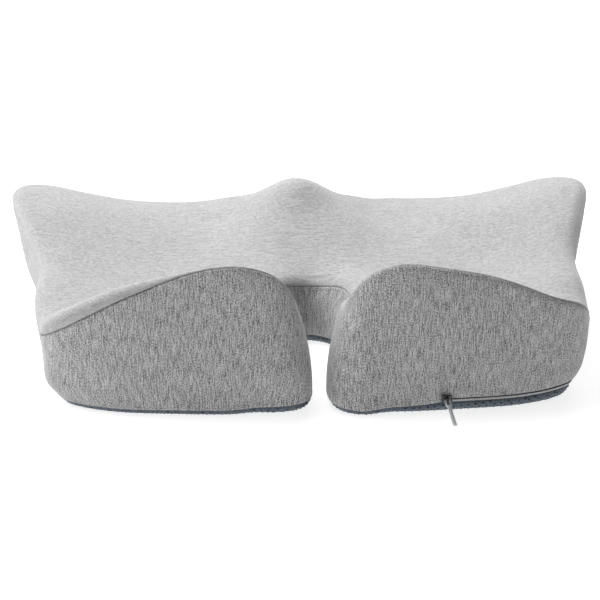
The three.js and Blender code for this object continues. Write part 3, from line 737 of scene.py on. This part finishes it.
def dot_places():
    dense = Edge(even_counts(0, TURN, 2400)[:-1])
    foot = Section(dense)
    rim = foot.points(foot.length[-1:])[0][0][:, :2]
    ahead = np.roll(rim, -1, axis=0)
    rows = np.arange(-200, 200, DOT_ROW)
    grid = [(x + (DOT_PITCH / 2 if k % 2 else 0), y)
            for k, y in enumerate(rows) for x in np.arange(-240, 240, DOT_PITCH)]
    spots, ways = [], []
    room = foot.length[-1] - foot.at_height(base_seam(dense.count)) - 1.3
    for p in np.array(grid):
        gap = np.linalg.norm(rim - p, axis=1)
        near = gap.argmin()
        crossed = (rim[:, 1] > p[1]) != (ahead[:, 1] > p[1])
        cut = rim[crossed, 0] + (p[1] - rim[crossed, 1]) / (ahead[crossed, 1] - rim[crossed, 1]) * (
            ahead[crossed, 0] - rim[crossed, 0])
        within = (cut > p[0]).sum() % 2 == 1
        if within:
            spots.append((p[0], p[1], 0))
            ways.append((0, 0, -1))
        elif gap[near] < room[near]:
            turn = gap[near] / BASE_RADIUS
            off = -dense.lean[near] - BASE_RADIUS + BASE_RADIUS * math.sin(turn)
            across = math.sin(turn)
            spots.append((dense.x[near] + dense.out_x[near] * off,
                          dense.y[near] + dense.out_y[near] * off, BASE_RADIUS * (1 - math.cos(turn))))
            ways.append((dense.out_x[near] * across, dense.out_y[near] * across, -math.cos(turn)))
    spots = lopsided(np.array(spots))
    spots[:, 2] += BASE_LIFT
    return spots, np.array(ways)


def guide(name, points, ways, joined=False):
    """Points for the repeated pieces to stand on, each with its outward way."""
    mesh = bpy.data.meshes.new(name)
    count = len(points)
    links = [(i, (i + 1) % count) for i in range(count - (joined == "open"))] if joined else []
    mesh.from_pydata((np.asarray(points) * TRUE_MM).tolist(), links, [])
    mesh.attributes.new("outward", "FLOAT_VECTOR", "POINT").data.foreach_set("vector", np.ravel(ways))
    made = bpy.data.objects.new(name, mesh)
    bpy.context.scene.collection.objects.link(made)
    return made


def repeated(name, guide_piece, look, sizes, copy_of, along_path):
    """Geometry Nodes that stand a small shape on a guide's points, or evenly along its path."""
    tree = bpy.data.node_groups.new(name, "GeometryNodeTree")
    face = tree.interface
    face.new_socket("Guide", in_out="INPUT", socket_type="NodeSocketGeometry")
    for key in sizes:
        face.new_socket(key, in_out="INPUT", socket_type="NodeSocketFloat")
    face.new_socket("Finish", in_out="INPUT", socket_type="NodeSocketMaterial")
    face.new_socket("Pieces", in_out="OUTPUT", socket_type="NodeSocketGeometry")
    entry, leave = tree.nodes.new("NodeGroupInput"), tree.nodes.new("NodeGroupOutput")

    def node(kind, settings=(), **links):
        made = tree.nodes.new(kind)
        for key, value in settings:
            setattr(made, key, value)
        for key, value in links.items():
            socket = made.inputs[key.replace("_", " ")]
            if isinstance(value, bpy.types.NodeSocket):
                tree.links.new(value, socket)
            else:
                socket.default_value = value
        return made

    outward = node("GeometryNodeInputNamedAttribute", [("data_type", "FLOAT_VECTOR")], Name="outward")
    stand = entry.outputs["Guide"]
    turned = node("FunctionNodeAlignRotationToVector", [("axis", "Z")],
                  Vector=outward.outputs["Attribute"])
    if along_path:
        line = node("GeometryNodeMeshToCurve", Mesh=stand)
        stand = node("GeometryNodeResampleCurve", [("mode", "LENGTH")], Curve=line.outputs["Curve"],
                     Length=entry.outputs["Pitch"]).outputs["Curve"]
        turned = node("FunctionNodeAlignRotationToVector", [("axis", "X"), ("pivot_axis", "Z")],
                      Rotation=turned.outputs["Rotation"],
                      Vector=node("GeometryNodeInputTangent").outputs["Tangent"])
    shape = copy_of(node, entry)
    stood = node("GeometryNodeInstanceOnPoints", Points=stand, Instance=shape,
                 Rotation=turned.outputs["Rotation"])
    real = node("GeometryNodeRealizeInstances", Geometry=stood.outputs["Instances"])
    smooth = node("GeometryNodeSetShadeSmooth", Geometry=real.outputs["Geometry"])
    coated = node("GeometryNodeSetMaterial", Geometry=smooth.outputs["Geometry"],
                  Material=entry.outputs["Finish"])
    tree.links.new(coated.outputs["Geometry"], leave.inputs["Pieces"])
    modifier = guide_piece.modifiers.new(name, "NODES")
    modifier.node_group = tree
    for item in face.items_tree:
        if item.in_out == "INPUT" and item.name != "Guide":
            modifier[item.identifier] = look if item.name == "Finish" else float(sizes[item.name])
    shown = guide_piece.evaluated_get(bpy.context.evaluated_depsgraph_get())
    mesh = bpy.data.meshes.new_from_object(shown)
    mesh.name = name
    bpy.data.objects.remove(guide_piece)
    piece = bpy.data.objects.new(name, mesh)
    bpy.context.scene.collection.objects.link(piece)
    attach(piece, "cushion")
    return piece


def dot_shape(node, entry):
    """A low round-topped button with six sides."""
    cone = node("GeometryNodeMeshCone", Vertices=6, Radius_Top=entry.outputs["Top"],
                Radius_Bottom=entry.outputs["Radius"], Depth=entry.outputs["Height"])
    return cone.outputs["Mesh"]


rubber, tree, shader, place = new_material("dot_rubber")
grain = speckle(tree, place, (900, 900, 900))
coloured(tree, shader, grain, (0.012, 0.018, 0.035), (0.03, 0.042, 0.07))
roughened(tree, shader, grain, 0.3, 0.7, 0.5, 0.7)
dot_spots, dot_ways = dot_places()
dots = repeated("non_slip_dots", guide("dot_guide", dot_spots - DOT_SINK * dot_ways, dot_ways), rubber,
                {"Radius": DOT_WIDTH / 2 * TRUE_MM, "Top": DOT_WIDTH * 0.36 * TRUE_MM,
                 "Height": (BASE_LIFT + DOT_SINK) * TRUE_MM}, dot_shape, False)

# ---- Seam stitches ------------------------------------------------------------------------------
# Grey polyester sewing thread. One row of lockstitch closes the seam between the top panel and
# the boxing, and one joins the base to the boxing and to the zip's lower tape.

STITCH_PITCH = 3.0
STITCH_LENGTH = 2.5
STITCH_THICK = 0.55

thread_look, tree, shader, place = new_material("sewing_thread")
twist = speckle(tree, place, (2500, 2500, 2500))
coloured(tree, shader, twist, (0.16, 0.163, 0.17), (0.42, 0.425, 0.43))
roughened(tree, shader, twist, 0.3, 0.7, 0.6, 0.8)


def stitch_shape(node, entry):
    """A short strand, thickest in the middle."""
    ball = node("GeometryNodeMeshUVSphere", Segments=6, Rings=5, Radius=0.5)
    size = node("ShaderNodeCombineXYZ", X=entry.outputs["Length"], Y=entry.outputs["Thickness"],
                Z=entry.outputs["Thickness"])
    return node("GeometryNodeTransform", Geometry=ball.outputs["Mesh"],
                Scale=size.outputs["Vector"]).outputs["Geometry"]


def stitches(name, lengths, sunk, replaced):
    places, ways = section.points(lengths[None, :])
    lift = swelling(places) + rumpled(places) - sunk
    line = lopsided(places + ways * lift[..., None])[0]
    row = repeated(name, guide(name + "_guide", line, ways[0], True), thread_look,
                   {"Pitch": STITCH_PITCH * TRUE_MM, "Length": STITCH_LENGTH * TRUE_MM,
                    "Thickness": STITCH_THICK * TRUE_MM}, stitch_shape, True)
    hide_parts(replaced)


stitches("top_seam_stitches", seam_at, 1.5, "top_seam_thread")
base_stitch_at = section.at_height(base_seam(ring.edge.count) + 0.3)
stitches("base_seam_stitches", base_stitch_at, 1.3, "base_seam_thread")

# ---- Zip ----------------------------------------------------------------------------------------
# A light grey coil zip that opens the cover for washing. It starts on the right rear lobe, runs
# round the right side and the front, and ends on the left side. The lower tape is sewn to the
# base and the upper one behind the boxing's hem, which hides the upper of the two nylon coils.

TAPE_LOW, TAPE_HIGH = 8.4, 9.9
UPPER_TAPE_LOW, UPPER_TAPE_HIGH = 12.5, 17.4
COIL_LOW_Z, COIL_HIGH_Z = 9.95, 13.3
COIL_ACROSS = 2.0
COIL_WIRE = 1.1
COIL_PITCH = 1.2
zip_counts = count_at(np.linspace(length_at(0), length_at(ZIP_SHUT + 0.03), 260))
left_counts = count_at(np.linspace(length_at(ZIP_OPEN - 0.02), length_at(TURN), 260))
zip_counts = np.concatenate([left_counts[:-1] - TURN, zip_counts])
zip_section = Section(Edge(zip_counts % TURN))


def tape(name, low_z, high_z, depth, replaced):
    steps = np.linspace(high_z, low_z, 5)
    lengths = np.vstack([zip_section.at_height(z + 0 * zip_counts) for z in steps])
    places, ways = zip_section.points(lengths)
    places = lopsided(places - depth * ways)
    piece = solid(name, places.reshape(-1, 3), bands(len(steps), len(zip_counts), False))
    give_thickness(piece, 0.6)
    piece.data.materials.append(tape_look)
    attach(piece, "cushion")
    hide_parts(replaced)


tape_look, tree, shader, place = new_material("tape_weave")
weft = sharpened(tree, speckle(tree, place, (700, 700, 2600), (0, 0, 0), 1.0), 0.3, 0.7)
coloured(tree, shader, weft, (0.32, 0.325, 0.33), (0.55, 0.555, 0.56))
roughened(tree, shader, weft, 0, 1, 0.9, 0.75)
raised(tree, shader, weft, 0.4, 0.0003)
tape("lower_tape", TAPE_LOW, TAPE_HIGH, 0.3, "zip_tape_lower")
tape("upper_tape", UPPER_TAPE_LOW, UPPER_TAPE_HIGH, 1.75, "zip_tape_upper")

coil_look, tree, shader, place = new_material("coil_nylon")
rub = speckle(tree, place, (600, 600, 600))
coloured(tree, shader, rub, (0.016, 0.017, 0.02), (0.05, 0.052, 0.058))
roughened(tree, shader, rub, 0.3, 0.7, 0.35, 0.55)


def turn_shape(node, entry):
    """One turn of the coil, seen from outside: a short bar across the zip with round ends."""
    ball = node("GeometryNodeMeshUVSphere", Segments=6, Rings=4, Radius=0.5)
    size = node("ShaderNodeCombineXYZ", X=entry.outputs["Wire"], Y=entry.outputs["Across"],
                Z=entry.outputs["Wire"])
    return node("GeometryNodeTransform", Geometry=ball.outputs["Mesh"],
                Scale=size.outputs["Vector"]).outputs["Geometry"]


def coil(name, middle_z, shift, replaced):
    lengths = zip_section.at_height(middle_z + 0 * zip_counts)
    places, ways = zip_section.points(lengths[None, :])
    line = lopsided(places - 1.1 * ways)[0][shift:]
    row = repeated(name, guide(name + "_guide", line, ways[0][shift:], "open"), coil_look,
                   {"Pitch": COIL_PITCH * TRUE_MM, "Wire": COIL_WIRE * TRUE_MM,
                    "Across": COIL_ACROSS * TRUE_MM},
                   turn_shape, True)
    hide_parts(replaced)


coil("coil_lower", COIL_LOW_Z, 0, "zip_coil_lower")
coil("coil_upper", COIL_HIGH_Z, 1, "zip_coil_upper")

# ---- Zip stops and retainer ---------------------------------------------------------------------
# Small clips of dark metal clenched on the tapes. Two stops end the coils at the slider's end,
# and a box holds the two tapes together at the other.


def worn_metal(name, dark, light, rough):
    made, tree, shader, place = new_material(name)
    wear = speckle(tree, place, (400, 400, 400), (0, 0, 0), 4.0)
    coloured(tree, shader, sharpened(tree, wear, 0.35, 0.7), dark, light)
    roughened(tree, shader, wear, 0.3, 0.7, *rough)
    shader.inputs["Metallic"].default_value = 1.0
    raised(tree, shader, speckle(tree, place, (1500, 1500, 1500)), 0.1, 0.0001)
    return made


def rounded_copy(node_name, name, body, look, radius, moved=(0, 0, 0)):
    """A copy of a fitting with its edges rounded as a casting's are."""
    form = bmesh.new()
    form.from_mesh(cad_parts[node_name].data)
    bmesh.ops.remove_doubles(form, verts=form.verts, dist=1e-6)
    bmesh.ops.dissolve_limit(form, angle_limit=math.radians(2), verts=form.verts, edges=form.edges)
    bmesh.ops.translate(form, verts=form.verts, vec=Vector(moved) * TRUE_MM)
    mesh = bpy.data.meshes.new(name)
    form.to_mesh(mesh)
    form.free()
    mesh.polygons.foreach_set("use_smooth", [True] * len(mesh.polygons))
    piece = bpy.data.objects.new(name, mesh)
    bpy.context.scene.collection.objects.link(piece)
    edge = piece.modifiers.new("rounded", "BEVEL")
    edge.width = radius * TRUE_MM
    edge.segments = 3
    edge.limit_method = "ANGLE"
    edge.angle_limit = math.radians(35)
    mesh.materials.append(look)
    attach(piece, body)
    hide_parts(node_name)
    return piece


dark_metal = worn_metal("dark_metal", (0.03, 0.03, 0.034), (0.10, 0.10, 0.105), (0.3, 0.5))
for clip in ("zip_stop_lower", "zip_stop_upper"):
    rounded_copy(clip, clip + "_clip", "cushion", dark_metal, 0.2, (0, 1.9, 0))
rounded_copy("zip_retainer", "zip_retainer_box", "cushion", dark_metal, 0.3, (1.0, 0, 0))

# ---- Slider and pull tab ------------------------------------------------------------------------
# A small slider cast in zinc and painted dark, with a bridge on its outer plate. The pull is a
# narrow bright strip with a slot near its eye. It hangs from the bridge and rests its tip low.

rounded_copy("slider_body", "slider_casting", "zip_slider", dark_metal, 0.3)
bright_metal = worn_metal("bright_metal", (0.80, 0.81, 0.82), (0.94, 0.945, 0.95), (0.6, 0.75))
rounded_copy("pull_tab", "pull_tab_strip", "zip_pull", bright_metal, 0.25)

# ---- Floor, light and camera --------------------------------------------------------------------
# A pale, faintly lit table under soft lights, the main one high on the left. The cushion is
# looked at from behind and a little above.

FLOOR_REACH = 9.0
floor_mesh = bpy.data.meshes.new("floor")
floor_mesh.from_pydata([(-FLOOR_REACH, -FLOOR_REACH, 0), (FLOOR_REACH, -FLOOR_REACH, 0),
                        (FLOOR_REACH, FLOOR_REACH, 0), (-FLOOR_REACH, FLOOR_REACH, 0)],
                       [], [(0, 1, 2, 3)])
floor = bpy.data.objects.new("floor", floor_mesh)
bpy.context.scene.collection.objects.link(floor)
floor_look, tree, shader, place = new_material("floor_paint")
set_sockets(shader, **{"Base Color": (0.5, 0.5, 0.5, 1), "Roughness": 0.9, "Specular IOR Level": 0.1,
                         "Emission Color": (1, 1, 1, 1), "Emission Strength": 0.78})
floor_mesh.materials.append(floor_look)


def soft_light(name, place, target, size, power):
    lamp = bpy.data.lights.new(name, "AREA")
    lamp.shape = "DISK"
    lamp.size = size
    lamp.energy = power
    held = bpy.data.objects.new(name, lamp)
    held.location = place
    held.rotation_euler = (Vector(target) - Vector(place)).to_track_quat("-Z", "Y").to_euler()
    bpy.context.scene.collection.objects.link(held)


LIGHT = 1.25
soft_light("main", (-1.1, 0.5, 2.0), (0, 0, 0.05), 2.2, 59 * LIGHT)
soft_light("front", (0.6, 2.4, 1.2), (0, 0, 0.05), 1.6, 39 * LIGHT)
soft_light("rear", (-2.4, -1.0, 1.0), (0, 0, 0.05), 1.4, 11 * LIGHT)
soft_light("left", (-2.4, 0.2, 0.9), (0, 0, 0.05), 1.4, 6.6 * LIGHT)
soft_light("right", (2.2, 1.6, 1.1), (0, 0, 0.05), 1.4, 7 * LIGHT)
world = bpy.data.worlds.new("studio")
world.use_nodes = True
world.node_tree.nodes["Background"].inputs["Color"].default_value = (1, 1, 1, 1)
world.node_tree.nodes["Background"].inputs["Strength"].default_value = 0.06
bpy.context.scene.world = world
bpy.context.scene.view_settings.view_transform = "Standard"

LOOK_AT = Vector((-0.0068, 0, 0.03215))
AZIMUTH, ELEVATION = math.radians(-3.03), math.radians(18.03)
DISTANCE = 2.3
ahead = Vector((-math.sin(AZIMUTH) * math.cos(ELEVATION), math.cos(AZIMUTH) * math.cos(ELEVATION),
                -math.sin(ELEVATION)))
lens = bpy.data.cameras.new("camera")
lens.sensor_width = 36
lens.lens = 182.0
camera = bpy.data.objects.new("camera", lens)
camera.location = LOOK_AT - ahead * DISTANCE
camera.rotation_euler = ahead.to_track_quat("-Z", "Y").to_euler()
bpy.context.scene.collection.objects.link(camera)
bpy.context.scene.camera = camera
